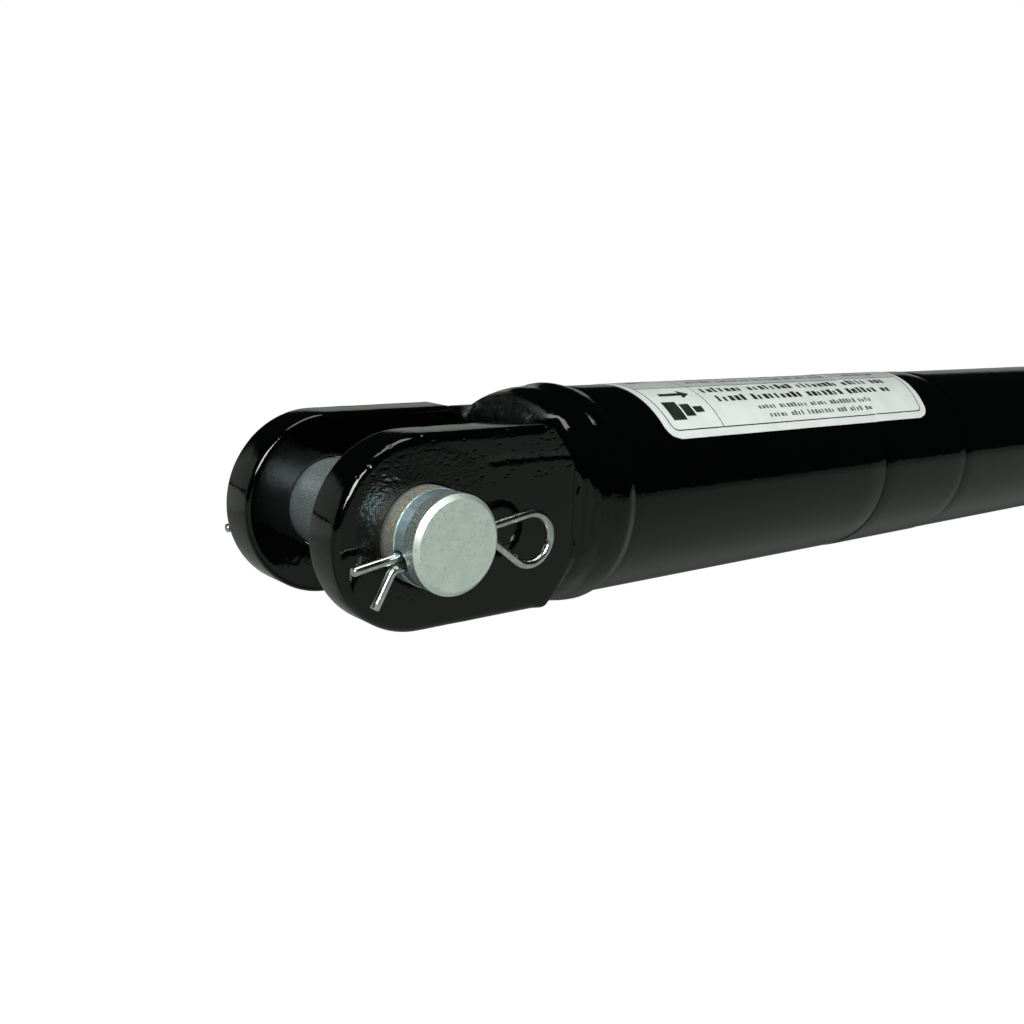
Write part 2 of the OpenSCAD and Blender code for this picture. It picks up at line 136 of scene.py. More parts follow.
def finish_mesh(name, verts, faces, sharp, material):
    """An object from points in millimetres, with outward normals. Edges over sharp degrees stay sharp."""
    me = bpy.data.meshes.new(name)
    me.from_pydata([Vector(v) * MM for v in verts], [], faces)
    bm = bmesh.new()
    bm.from_mesh(me)
    bmesh.ops.remove_doubles(bm, verts=bm.verts, dist=1e-7)
    bmesh.ops.recalc_face_normals(bm, faces=bm.faces)
    bm.to_mesh(me)
    bm.free()
    me.shade_smooth()
    me.set_sharp_from_angle(angle=math.radians(sharp))
    ob = bpy.data.objects.new(name, me)
    scene.collection.objects.link(ob)
    me.materials.append(material)
    return ob


def skin(name, loops, material, sharp, ends=False):
    """Closed loops of the same number of points, joined by faces. The last loop joins the first, or with ends
    the first and last loops are closed by flat faces."""
    n = len(loops[0])
    verts = [p for loop in loops for p in loop]
    faces = []
    last = len(loops) - 1 if ends else len(loops)
    for i in range(last):
        a = i * n
        b = ((i + 1) % len(loops)) * n
        for j in range(n):
            k = (j + 1) % n
            faces.append((a + j, a + k, b + k, b + j))
    if ends:
        faces.append(tuple(range(n)))
        faces.append(tuple(range((len(loops) - 1) * n, len(loops) * n)))
    return finish_mesh(name, verts, faces, sharp, material)


def round_turns(n):
    """Sine and cosine of n even steps round a circle."""
    return [(math.sin(2 * math.pi * j / n), math.cos(2 * math.pi * j / n)) for j in range(n)]


def circle_x(x, r, n):
    """A circle about the cylinder's axis."""
    return [(x, r * s, r * c) for s, c in round_turns(n)]


def smoothstep(a, b, t):
    """0 up to a, 1 from b on, and a smooth rise between."""
    t = min(1.0, max(0.0, (t - a) / (b - a)))
    return t * t * (3 - 2 * t)


def bumpy(p, size, seed=0.0):
    """Smooth noise from -1 to 1 whose lumps are about size millimetres across."""
    return noise.noise(Vector(p) / size + Vector((seed, seed * 0.7, -seed)))


def at_end(points, end):
    """Points given at the base end, moved to the rod end by a half turn about Z."""
    if end == "base":
        return points
    return [(ROD_PIN_X - x, -y, z) for x, y, z in points]


def own(ob, body, slot, *nodes):
    """Says which body the object rides on and hides the CAD nodes it stands for. The slot argument is not
    used.
    """
    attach(ob, body)
    if nodes:
        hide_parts(*nodes)
    return ob


# ---- Materials ------------------------------------------------------------------


class Nodes:
    """A short way to write a node tree."""

    def __init__(self, tree):
        self.tree = tree

    def add(self, kind, **props):
        node = self.tree.nodes.new(kind)
        for key, value in props.items():
            setattr(node, key, value)
        return node

    def link(self, a, b):
        self.tree.links.new(a, b)

    def put(self, socket, value):
        if hasattr(value, "is_output"):
            self.link(value, socket)
        else:
            socket.default_value = value

    def math(self, op, a, b=0.0):
        m = self.add("ShaderNodeMath", operation=op)
        self.put(m.inputs[0], a)
        self.put(m.inputs[1], b)
        return m.outputs[0]

    def times(self, *factors):
        product = factors[0]
        for factor in factors[1:]:
            product = self.math("MULTIPLY", product, factor)
        return product

    def ramp(self, value, low, high, out_low=0.0, out_high=1.0):
        m = self.add("ShaderNodeMapRange", interpolation_type="SMOOTHSTEP")
        self.link(value, m.inputs["Value"])
        m.inputs["From Min"].default_value = low
        m.inputs["From Max"].default_value = high
        m.inputs["To Min"].default_value = out_low
        m.inputs["To Max"].default_value = out_high
        return m.outputs["Result"]

    def blend(self, factor, a, b):
        m = self.add("ShaderNodeMix", data_type="RGBA")
        self.put(m.inputs[0], factor)
        self.put(m.inputs[6], a)
        self.put(m.inputs[7], b)
        return m.outputs[2]


class Graph(Nodes):
    """A material's node tree, with its patterns in the object's own coordinates."""

    def __init__(self, name):
        self.mat = bpy.data.materials.new(name)
        self.mat.use_nodes = True
        super().__init__(self.mat.node_tree)
        self.bsdf = self.tree.nodes["Principled BSDF"]
        self.coord = self.add("ShaderNodeTexCoord").outputs["Object"]

    def axis(self, name):
        s = self.add("ShaderNodeSeparateXYZ")
        self.link(self.coord, s.inputs[0])
        return s.outputs[name]

    def scaled(self, factors):
        m = self.add("ShaderNodeMapping")
        m.inputs["Scale"].default_value = factors
        self.link(self.coord, m.inputs["Vector"])
        return m.outputs["Vector"]

    def noise(self, scale, detail=2.0, rough=0.5, stretch=None):
        n = self.add("ShaderNodeTexNoise")
        n.inputs["Scale"].default_value = scale
        n.inputs["Detail"].default_value = detail
        n.inputs["Roughness"].default_value = rough
        self.link(self.scaled(stretch) if stretch else self.coord, n.inputs["Vector"])
        return n.outputs["Fac"]

    def cells(self, scale, stretch):
        v = self.add("ShaderNodeTexVoronoi")
        v.inputs["Scale"].default_value = scale
        self.link(self.scaled(stretch), v.inputs["Vector"])
        return v.outputs["Distance"]

    def bump(self, height, depth, under=None):
        b = self.add("ShaderNodeBump")
        b.inputs["Strength"].default_value = 1.0
        b.inputs["Distance"].default_value = depth
        self.link(height, b.inputs["Height"])
        if under:
            self.link(under, b.inputs["Normal"])
        return b.outputs["Normal"]

    def done(self, color, rough, normal=None, metallic=0.0):
        self.bsdf.inputs["Metallic"].default_value = metallic
        self.put(self.bsdf.inputs["Base Color"], color)
        self.put(self.bsdf.inputs["Roughness"], rough)
        if normal:
            self.link(normal, self.bsdf.inputs["Normal"])
        return self.mat


def black_paint(name):
    """Glossy black enamel with orange peel."""
    g = Graph(name)
    normal = g.bump(g.noise(620, 3), 0.00002)
    normal = g.bump(g.noise(150, 2), 0.00005, normal)
    return enamel(g, normal)


def along(g, end):
    """Distance from the pin axis toward the cylinder's middle, at either end."""
    if end == "base":
        return g.axis("X")
    return g.math("SUBTRACT", ROD_PIN_X * MM, g.axis("X"))


def weld_paint(name, end):
    """The enamel over weld metal: glossy on the rolled passes, gritty on the heap between the ears."""
    g = Graph(name)
    x = along(g, end)
    y = g.math("ABSOLUTE", g.axis("Y"))
    grit = g.times(g.ramp(x, 0.0475, 0.0505, 1.0, 0.0), g.ramp(y, 0.0155, 0.018, 1.0, 0.0))
    normal = g.bump(g.noise(620, 3), 0.00003)
    normal = g.bump(g.noise(260, 3), 0.00010, normal)
    normal = g.bump(g.times(g.noise(1500, 4, 0.7), grit), 0.00030, normal)
    return enamel(g, normal, grit)


def ear_paint(name, end):
    """The enamel over plate: pocked along the upper edge, rippled round the hole, with one rolling mark."""
    g = Graph(name)
    x = along(g, end)
    y = g.math("ABSOLUTE", g.axis("Y"))
    z = g.axis("Z")
    outside = g.ramp(y, EAR_OUT * MM - 0.002, EAR_OUT * MM - 0.0008)
    reach = g.math("SQRT", g.math("ADD", g.times(x, x), g.times(z, z)))
    normal = g.bump(g.noise(620, 3), 0.00004)
    normal = g.bump(g.noise(170, 2), 0.00008, normal)
    # Broken paint round the hole and on the upper half of the nose, kept off the rim
    upper = g.times(g.ramp(z, 0.002, 0.012), g.ramp(x, 0.012, 0.028, 1.0, 0.0))
    hole = g.ramp(reach, 0.015, 0.022, 1.0, 0.0)
    inside_rim = g.ramp(reach, 0.0205, 0.0235, 1.0, 0.0)
    broken = g.times(g.math("MAXIMUM", upper, hole), outside, inside_rim)
    normal = g.bump(g.times(g.noise(800, 3, 0.6), broken), 0.00030, normal)
    # Small pocks along the upper edge
    zone = g.times(g.ramp(z, 0.009, 0.015), g.ramp(g.noise(160, 2), 0.34, 0.5))
    hollow = g.ramp(g.cells(640, (0.55, 1, 1)), 0.05, 0.40, 1.0, 0.0)
    pocks = g.times(hollow, zone, outside)
    normal = g.bump(g.math("SUBTRACT", 1.0, pocks), 0.00013, normal)
    # The rolling mark, a wavering line with frayed edges
    waver = g.times(g.math("SUBTRACT", g.noise(130, 3), 0.5), 0.0032)
    line = g.math("ABSOLUTE", g.math("SUBTRACT", z, g.math("ADD", waver, 0.0170)))
    frayed = g.math("ADD", line, g.times(g.noise(900, 2), 0.0012))
    mark = g.times(g.ramp(frayed, 0.0004, 0.0022, 1.0, 0.0), g.ramp(x, 0.018, 0.022))
    grain = g.math("ADD", 0.6, g.times(g.noise(700, 3), 0.8))
    dip = g.times(mark, grain, outside)
    normal = g.bump(g.math("SUBTRACT", 1.0, dip), 0.00045, normal)
    return enamel(g, normal)


def enamel(g, normal, grit=None):
    """Black gloss with a little dust. Where grit is 1 it is greyer and duller."""
    dust = g.ramp(g.noise(2300, 1), 0.81, 0.84)
    color = g.blend(dust, (0.0006, 0.0008, 0.0007, 1), (0.02, 0.022, 0.02, 1))
    rough = g.ramp(g.noise(60, 3), 0.3, 0.7, 0.045, 0.085)
    if grit is not None:
        color = g.blend(grit, color, (0.003, 0.004, 0.0035, 1))
        rough = g.math("ADD", rough, g.times(grit, 0.16))
    return g.done(color, rough, normal)


def zinc_pin(name, middle):
    """Clevis pin: speckled zinc, with a tan rough band, a blue turned band with painted reflection streaks, a
    dark collar at each end, and end faces made lighter partly by painted light.
    """
    g = Graph(name)
    y = g.math("ABSOLUTE", g.math("SUBTRACT", g.axis("Y"), middle))
    speck = g.ramp(g.noise(2300, 4, 0.7), 0.36, 0.64)
    patch = g.ramp(g.noise(260, 3), 0.35, 0.65)
    shank = g.blend(speck, (0.22, 0.26, 0.27, 1), (0.52, 0.58, 0.60, 1))
    tan = g.blend(speck, (0.34, 0.32, 0.26, 1), (0.86, 0.83, 0.72, 1))
    # The blue is the plating's own tint; its lighter and darker streaks along the pin are painted reflection
    painted_streaks = g.ramp(g.noise(500, 2, stretch=(1, 0.15, 1)), 0.3, 0.7)
    blue = g.blend(painted_streaks, (0.36, 0.52, 0.60, 1), (0.66, 0.84, 0.90, 1))
    collar = g.blend(speck, (0.12, 0.15, 0.14, 1), (0.60, 0.66, 0.63, 1))
    # End faces: lighter zinc, partly the plating's own tone and partly painted light for light no lamp gives
    # them; the dark specks are real
    face = g.blend(patch, (0.76, 0.86, 0.80, 1), (0.84, 0.93, 0.88, 1))
    face = g.blend(g.ramp(g.noise(1500, 3, 0.7), 0.30, 0.42), (0.48, 0.55, 0.51, 1), face)
    edge = g.math("ADD", y, g.times(g.math("SUBTRACT", g.noise(900, 2), 0.5), 0.0012))
    color = g.blend(g.ramp(edge, 0.0262, 0.0268), shank, tan)
    color = g.blend(g.ramp(edge, 0.03065, 0.0309), color, blue)
    color = g.blend(g.ramp(y, 0.03495, 0.03515), color, collar)
    end = g.ramp(y, 0.0389, 0.0391)
    color = g.blend(end, color, face)
    polished = g.times(g.ramp(edge, 0.0307, 0.0309), g.ramp(y, 0.0352, 0.0349))
    rough = g.math("SUBTRACT", 0.46, g.times(polished, 0.26))
    rough = g.math("SUBTRACT", rough, g.times(end, 0.08))
    normal = g.bump(g.noise(2300, 4, 0.7), 0.00003)
    normal = g.bump(g.noise(380, 2), 0.00004, normal)
    return g.done(color, rough, normal, metallic=0.68)


def zinc_wire():
    """Bright zinc plated wire."""
    g = Graph("zinc_wire")
    color = g.blend(g.ramp(g.noise(700, 3), 0.35, 0.7), (0.60, 0.64, 0.62, 1), (0.80, 0.84, 0.81, 1))
    rough = g.ramp(g.noise(300, 2), 0.3, 0.7, 0.14, 0.24)
    normal = g.bump(g.noise(900, 2), 0.000006)
    return g.done(color, rough, normal, metallic=1.0)


def chrome():
    """Ground and hard-chromed bar, with faint marks round it."""
    g = Graph("hard_chrome")
    rings = g.noise(1400, 2, stretch=(1, 0.02, 0.02))
    color = g.blend(g.ramp(g.noise(25, 3), 0.3, 0.7), (0.66, 0.67, 0.69, 1), (0.74, 0.75, 0.77, 1))
    rough = g.ramp(rings, 0.3, 0.7, 0.07, 0.16)
    return g.done(color, rough, g.bump(rings, 0.000004), metallic=1.0)


def turned_metal(name, dark, light, roughness):
    """Machined metal with tool marks round the X axis."""
    g = Graph(name)
    marks = g.noise(1800, 2, stretch=(1, 0.03, 0.03))
    color = g.blend(g.ramp(g.noise(140, 4), 0.35, 0.68), dark, light)
    rough = g.ramp(marks, 0.3, 0.7, roughness - 0.08, roughness + 0.12)
    return g.done(color, rough, g.bump(marks, 0.00002), metallic=1.0)


def polymer(name, dark, light, roughness):
    """Moulded seal or band material with a fine grain."""
    g = Graph(name)
    color = g.blend(g.ramp(g.noise(180, 4), 0.35, 0.65), dark, light)
    rough = g.ramp(g.noise(900, 2), 0.3, 0.7, roughness - 0.1, roughness + 0.1)
    return g.done(color, rough, g.bump(g.noise(900, 3), 0.00002))


def film(name, dark, light, roughness):
    """Printed vinyl: nearly even colour with a faint mottle and a soft gloss."""
    g = Graph(name)
    color = g.blend(g.ramp(g.noise(90, 3), 0.3, 0.7), dark, light)
    rough = g.ramp(g.noise(260, 2), 0.3, 0.7, roughness - 0.06, roughness + 0.06)
    return g.done(color, rough, g.bump(g.noise(320, 2), 0.00003))


PAINT = black_paint("black_paint")
EAR_PAINT = {end: ear_paint(f"black_paint_on_plate_{end}", end) for end in ("base", "rod")}
WELD_PAINT = {end: weld_paint(f"black_paint_on_weld_{end}", end) for end in ("base", "rod")}
BASE_ZINC = zinc_pin("zinc_pin_base", PIN_MIDDLE * MM)
ROD_ZINC = zinc_pin("zinc_pin_rod", -PIN_MIDDLE * MM)
WIRE = zinc_wire()
CHROME = chrome()
GLAND = turned_metal("gland_steel", (0.035, 0.037, 0.04, 1), (0.075, 0.08, 0.085, 1), 0.34)
BRONZE = turned_metal("bronze", (0.40, 0.24, 0.09, 1), (0.60, 0.40, 0.18, 1), 0.3)
STOP = turned_metal("stop_ring_steel", (0.16, 0.17, 0.18, 1), (0.30, 0.31, 0.33, 1), 0.32)
SEAL = polymer("seal_polyurethane", (0.22, 0.05, 0.03, 1), (0.34, 0.09, 0.05, 1), 0.38)
BAND = polymer("guide_band", (0.06, 0.13, 0.08, 1), (0.10, 0.20, 0.12, 1), 0.5)
NITRILE = polymer("nitrile_ring", (0.008, 0.008, 0.008, 1), (0.02, 0.02, 0.02, 1), 0.45)
LABEL = film("label_film", (0.78, 0.80, 0.79, 1), (0.86, 0.88, 0.87, 1), 0.36)
PANEL = film("label_panel", (0.50, 0.52, 0.52, 1), (0.58, 0.60, 0.60, 1), 0.36)
INK = film("label_ink", (0.012, 0.016, 0.014, 1), (0.03, 0.036, 0.032, 1), 0.32)
SOFT_INK = film("label_fine_ink", (0.09, 0.10, 0.10, 1), (0.15, 0.16, 0.16, 1), 0.36)

# ---- Clevises ---------------------------------------------------------------------


def ear_outline():
    """Points round the ear, seen along the pin, with softened corners. X is along the cylinder."""
    step = 1.1
    low_z, high_z = EAR_CORNER_Z
    short_x, long_x = EAR_CORNER_X
    corners = [(NOSE_X, EAR_R), (EAR_LEN - long_x, EAR_R), (EAR_LEN - short_x, high_z), (EAR_LEN, low_z)]
    corners += [(x, -z) for x, z in reversed(corners)]
    pts = []
    for a, b in zip(corners, corners[1:]):
        n = max(1, round(math.dist(a, b) / step))
        pts += [(a[0] + (b[0] - a[0]) * i / n, a[1] + (b[1] - a[1]) * i / n) for i in range(n)]
    arc = round(math.pi * EAR_R / step)
    for i in range(arc):
        turn = math.pi * i / arc
        pts.append((NOSE_X - EAR_R * math.sin(turn), -EAR_R * math.cos(turn)))
    for _ in range(2):
        after = pts[1:] + pts[:1]
        before = pts[-1:] + pts[:-1]
        trios = zip(before, pts, after)
        pts = [((a[0] + 2 * p[0] + b[0]) / 4, (a[1] + 2 * p[1] + b[1]) / 4) for a, p, b in trios]
    return pts


def inset(pts, depths):
    """The outline with each point moved inwards by its own depth."""
    out = []
    for i, ((x, z), d) in enumerate(zip(pts, depths)):
        ax, az = pts[i - 1]
        bx, bz = pts[(i + 1) % len(pts)]
        tx, tz = bx - ax, bz - az
        size = math.hypot(tx, tz)
        out.append((x + tz / size * d, z - tx / size * d))
    return out


def make_ear(name, end, side, body, node):
    """One ear plate: rounded rims, broken hole edges, and the slight waves of a flame-cut edge."""
    outer_rounding = 2.3 if side < 0 else 1.5
    inner_rounding = 1.2
    welded_rounding = 0.2
    lip = 0.8
    core = 2.4
    rings = 16
    steps = 6
    half = (EAR_OUT - EAR_IN) / 2
    outline = ear_outline()
    hole = [(math.cos(math.atan2(z, x)), math.sin(math.atan2(z, x))) for x, z in outline]
    flat = [-half] * len(outline)

    def half_section(rounding):
        """Loops from the hole's mouth out to the rim, on the face at -half."""
        edges = [rounding - (rounding - welded_rounding) * smoothstep(37, 42, x) for x, z in outline]
        section = []
        for i in range(5):
            t = math.pi / 2 * i / 4
            r = EAR_HOLE_R + lip * (1 - math.cos(t))
            section.append(([(c * r, s * r) for c, s in hole], [y + lip * (1 - math.sin(t)) for y in flat]))
        rim = inset(outline, edges)
        for i in range(1, rings):
            t = i / rings
            r = EAR_HOLE_R + lip
            loop = [(c * r * (1 - t) + x * t, s * r * (1 - t) + z * t) for (c, s), (x, z) in zip(hole, rim)]
            section.append((loop, flat))
        for i in range(steps + 1):
            t = math.pi / 2 * i / steps
            loop = inset(outline, [e * (1 - math.sin(t)) for e in edges])
            section.append((loop, [-half + e * (1 - math.cos(t)) for e in edges]))
        return section

    front = half_section(outer_rounding)
    back = [(loop, [-y for y in ys]) for loop, ys in reversed(half_section(inner_rounding))]
    middle = [(outline, [y * core / half] * len(outline)) for y in (-1, -0.4, 0.4, 1)]
    centre = side * (EAR_IN + EAR_OUT) / 2
    seed = 3.0 * side + (10 if end == "rod" else 0)
    loops = []
    for loop, ys in front + middle + back:
        points = []
        for (x, z), y in zip(loop, ys):
            out = smoothstep(EAR_R - 6, EAR_R - 1, math.hypot(min(x, 0), z))
            wave = 0.06 * (0.5 + 0.5 * bumpy((x, y * 0.3, z), 1.9, seed)) * out
            sway = 0.12 * (0.5 + 0.5 * bumpy((x, y, z), 9, seed)) * out
            size = max(1e-6, math.hypot(x, z))
            face = 0.05 * abs(bumpy((x, y, z), 7, seed + 5)) * (1 - out)
            shrink = 1 - (wave + sway) / size
            points.append((x * shrink, centre + y * (1 - face / half), z * shrink))
        loops.append(at_end(points, end))
    return own(skin(name, loops, EAR_PAINT[end], 50), body, "black_paint", node)


def ear_cut_x(z):
    """Where an ear ends along X at height z, with its cut corners."""
    z = abs(z)
    low_z, high_z = EAR_CORNER_Z
    short_x, long_x = EAR_CORNER_X
    if z < low_z:
        return EAR_LEN
    if z < high_z:
        return EAR_LEN - short_x * (z - low_z) / (high_z - low_z)
    return EAR_LEN - short_x - (long_x - short_x) * (min(z, EAR_R) - high_z) / (EAR_R - high_z)


def curve(points, t):
    """Value at t on straight lines through (t, value) points."""
    for (a, u), (b, v) in zip(points, points[1:]):
        if t <= b:
            return u + (v - u) * max(0.0, (t - a) / (b - a))
    return points[-1][1]


def weld_front(y, z, r, seed):
    """The clevis weld's front along X: heaped between the ears, filling their cut corners beside them."""
    side = abs(y)
    lump = 0.55 * bumpy((2, y, z), 3.6, seed) + 0.40 * abs(bumpy((5, y, z), 1.7, seed + 1))
    gap = EAR_LEN - 2.6 - 1.6 * smoothstep(20, 24, r) - 1.3 * lump * smoothstep(19, 22, r)
    gap += 1.5 * smoothstep(26.5, FRONT_RIM_R, r)
    beside = ear_cut_x(z) + 0.25 - 0.3 * lump * smoothstep(14, 18, abs(z))
    outside = EAR_LEN - 0.3
    x = gap + (beside - gap) * smoothstep(15.0, 17.0, side)
    return x + (outside - x) * smoothstep(28.0, 28.5, side)


# The hump between the ears: distance from the pin axis and radius
HUMP = [(41, 29.1), (45.5, 29.2), (46.5, 29.6), (48, 30.2), (50, 30.95), (51, 31.1), (52, 31.45), (54, 31.85),
        (56, 32.05), (58, 32.1), (60, 32.3), (61.5, 32.6)]


def weld_shoulder(c):
    """Radius of the weld's front rim: level with the ears' tops where it fills their cut corners."""
    return min(31.3, max(FRONT_RIM_R, 25.2 / max(0.5, abs(c))))


def weld_crown(x, s, c, seed):
    """Radius of the clevis weld over the rim: a rolled hump between the ears, a hollow fillet beside them."""
    p = (x, 31 * s, 31 * c)
    hump = sum(curve(HUMP, x + dx) for dx in (-0.8, -0.4, 0, 0.4, 0.8)) / 5
    hump = max(hump, weld_shoulder(c))
    grow = smoothstep(46, 49, x) * (1 - smoothstep(59.5, SEAM_X, x))
    hump += (0.10 * bumpy(p, 6, seed + 2) + 0.04 * bumpy(p, 2.1, seed + 3)) * grow
    flank = smoothstep(0.60, 0.84, abs(s))
    wander = x - 50.6 + 0.5 * bumpy(p, 9, seed + 4)
    passes = 0.30 * abs(math.sin(math.pi * wander / 2.9)) - 0.15
    passes *= flank * smoothstep(50.8, 52.2, x) * (1 - smoothstep(59.5, SEAM_X, x))
    height = 31 * c
    band = smoothstep(-11, -4, height) * (1 - smoothstep(13, 16, height))
    wide = 50.6 + 1.0 * bumpy((7, s * 31, height), 3.5, seed + 6)
    groove = band * smoothstep(49.7, 50.0, x) * (1 - smoothstep(wide, wide + 0.9, x)) * 0.6
    fillet = EAR_OUT + 0.05 + 3.75 * smoothstep(48.4, 60.5, x) + passes - groove
    limit = fillet / max(abs(s), 0.05)
    soft = 0.7
    h = max(0, soft - abs(hump - limit)) / soft
    return min(hump, limit) - h * h * soft / 4


def make_clevis_weld(name, end, body, node):
    """The weld behind the ears, as one closed ring. Each column is a section through it along X."""
    n = 560
    seed = 21 if end == "base" else 44
    fronts = 18
    backs = 56
    columns = []
    for s, c in round_turns(n):
        rim = min(weld_shoulder(c), (EAR_OUT + 0.05) / max(abs(s), 0.05))
        x0 = weld_front(rim * s, rim * c, rim, seed)
        column = [(EAR_LEN + 1.0, PLUG_SIDE_R)]
        for i in range(fronts):
            r = PLUG_SIDE_R + (rim - PLUG_SIDE_R) * i / fronts
            column.append((weld_front(r * s, r * c, r, seed), r))
        for i in range(backs + 1):
            x = x0 + (SEAM_X - x0) * i / backs
            column.append((x, weld_crown(x, s, c, seed) if i else rim))
        column += [(SEAM_X, PREP_R - 3), (EAR_LEN + 1.0, PREP_R - 3)]
        columns.append([(x, r * s, r * c) for x, r in column])
    loops = [at_end([col[k] for col in columns], end) for k in range(len(columns[0]))]
    return own(skin(name, loops, WELD_PAINT[end], 60), body, "black_paint", node)


def make_seam_weld():
    """The ring weld between the end plug and the tube: one smooth ridge that wanders a little along X."""
    n = 480
    x0 = SEAM_X - 0.05
    x1 = SEAM_END
    steps = 26
    loops = []
    for i in range(steps + 1):
        x = x0 + (x1 - x0) * i / steps
        points = []
        for s, c in round_turns(n):
            p = (x, 32 * s, 32 * c)
            low = 1 - smoothstep(0.15, 0.6, c)
            ridge = 64.4 + 2.6 * low + 0.3 * bumpy((0, 32 * s, 32 * c), 10, 11)
            start = weld_crown(SEAM_X, s, c, 21)
            top = SEAM_R - 0.12 + 0.05 * bumpy(p, 12, 2)
            if x < ridge:
                r = start + (top - start) * math.sin(math.pi / 2 * (x - x0) / (ridge - x0))
            else:
                fall = math.cos(math.pi / 2 * min(1, (x - ridge) / (x1 - 0.8 - ridge)))
                r = BARREL_R - 0.02 + (top - BARREL_R) * fall ** 1.5
            r += 0.025 * bumpy(p, 2.6, 8) * math.sin(math.pi * i / steps)
            points.append((x, min(r, SEAM_R) * s, min(r, SEAM_R) * c))
        loops.append(points)
    loops.append(circle_x(x1, BORE_R, n))
    loops.append(circle_x(x0, BORE_R, n))
    own(skin("seam_weld", loops, WELD_PAINT["base"], 60), "barrel", "black_paint", "base_seam_weld")


def land_edge(x, out):
    """Profile points where the turned land starts (out is 1) or stops (out is -1): a burr and a step."""
    points = [(BARREL_R, -0.7), (BARREL_R - 0.06, -0.45), (BARREL_R + 0.05, -0.2)]
    points += [(LAND_R - 0.04, 0), (LAND_R, 0.2)]
    return [(r, x + dx * out) for r, dx in points][::out]


def make_tube():
    """The barrel with its shallow turned land, the prepared edge at the seam and a rounded front rim."""
    start, stop = LAND_X
    back = tube_low[0]
    step = BARREL_END - THREAD_LEN
    profile = [(THREAD_R - 1.6, back), (BARREL_R - 0.2, back + 3.2), (BARREL_R, back + 4.2)]
    profile += [(BARREL_R, x) for x in range(75, 195, 8)]
    profile += land_edge(start, 1)
    profile += [(LAND_R, x) for x in range(205, 248, 8)]
    profile += land_edge(stop, -1)
    profile += [(BARREL_R, x) for x in range(258, round(BARREL_END) - 4, 10)]
    edge = 0.8
    for i in range(5):
        t = math.pi / 2 * i / 4
        profile.append((BARREL_R - edge * (1 - math.cos(t)), BARREL_END - edge * (1 - math.sin(t))))
    profile += [(THREAD_R, BARREL_END), (THREAD_R, step), (BORE_R, step), (BORE_R, back)]
    loops = [circle_x(x, r, 256) for r, x in profile]
    own(skin("barrel_shell", loops, PAINT, 30), "barrel", "black_paint", "barrel_tube")


def make_block():
    """The rod-end block: a turned disc with rounded rims."""
    x0 = block_low[0]
    x1 = block_high[0]
    profile = [(PIN_R, x0 + 8), (PIN_R, x0)]
    for i in range(6):
        t = math.pi / 2 * i / 5
        profile.append((BARREL_R - 1.6 * (1 - math.sin(t)), x0 + 1.6 * (1 - math.cos(t))))
    profile += [(BARREL_R, x0 + 5), (BARREL_R, x1 - 0.4), (BARREL_R - 0.4, x1)]
    loops = [circle_x(x, r, 200) for r, x in profile]
    own(skin("rod_end_block", loops, PAINT, 35, ends=True), "stage_two", "black_paint", "rod_block")


def make_plunger_weld():
    """The fillet weld between the plunger and the rod-end block, with fine ripples."""
    n = 300
    face = block_low[0]
    r0 = PIN_R
    leg = 4.4
    loops = []
    for i in range(11):
        t = math.pi / 2 * i / 10
        bulge = 0.72 + 0.28 * math.sin(2 * t)
        points = []
        for j in range(n):
            turn = 2 * math.pi * j / n
            s, c = math.sin(turn), math.cos(turn)
            ripple = 1 + 0.025 * math.sin(turn * 36 + 2 * t) + 0.03 * bumpy((i, 14 * s, 14 * c), 2.4, 31)
            dr = leg * math.sin(t) * bulge * ripple
            dx = leg * math.cos(t) * bulge * ripple
            points.append((face + 0.2 - min(dx, leg), (r0 - 0.1 + dr) * s, (r0 - 0.1 + dr) * c))
        loops.append(points)
    loops.append(circle_x(face + 0.2, r0 - 0.1, n))
    own(skin("plunger_fillet_weld", loops, WELD_PAINT["rod"], 60), "stage_two", "black_paint", "plunger_weld")


# ---- Oil port -----------------------------------------------------------------------


def circle_y(y, r, n=128):
    """A circle about the port's axis."""
    return [(PORT_X + r * c, y, r * s) for s, c in round_turns(n)]


def make_port_boss():
    """The port's boss, with rounded rims. Its foot is inside the barrel's wall."""
    edge = 1.0
    foot = 24.0
    wall = PORT_R + 0.75
    floor = BARREL_R + PORT_FLOOR
    profile = [(OIL_WAY_R, foot), (OIL_WAY_R, floor), (wall, floor), (wall, BOSS_TOP - 2.2)]
    profile.append((PORT_R + 2.2, BOSS_TOP))
    for i in range(6):
        t = math.pi / 2 * i / 5
        profile.append((BOSS_R - edge * (1 - math.sin(t)), BOSS_TOP - edge * (1 - math.cos(t))))
    profile += [(BOSS_R, 36), (BOSS_R, foot)]
    loops = [circle_y(y, r) for r, y in profile]
    own(skin("port_boss_turned", loops, PAINT, 35), "barrel", "black_paint", "port_boss")


def make_port_thread():
    """The port's thread, as real turns that fade out at both ends."""
    pitch = 1.5875
    floor = BARREL_R + PORT_FLOOR
    root = PORT_R + 0.85
    turns = (BOSS_TOP - 2.0 - floor - 0.4) / pitch
    per = 64
    loops = []
    count = round(turns * per)
    for i in range(count + 1):
        a = 2 * math.pi * i / per
        y = floor + 0.4 + pitch * i / per
        fade = min(1, i / per, (count - i) / per)
        crest = PORT_R + 0.8 - 0.78 * fade
        section = [(root, -0.42), (crest, -0.08), (crest, 0.08), (root, 0.42)]
        loops.append([(PORT_X + r * math.cos(a), y + dy * pitch, r * math.sin(a)) for r, dy in section])
    own(skin("port_thread", loops, GLAND, 25, ends=True), "barrel", "gland_steel")


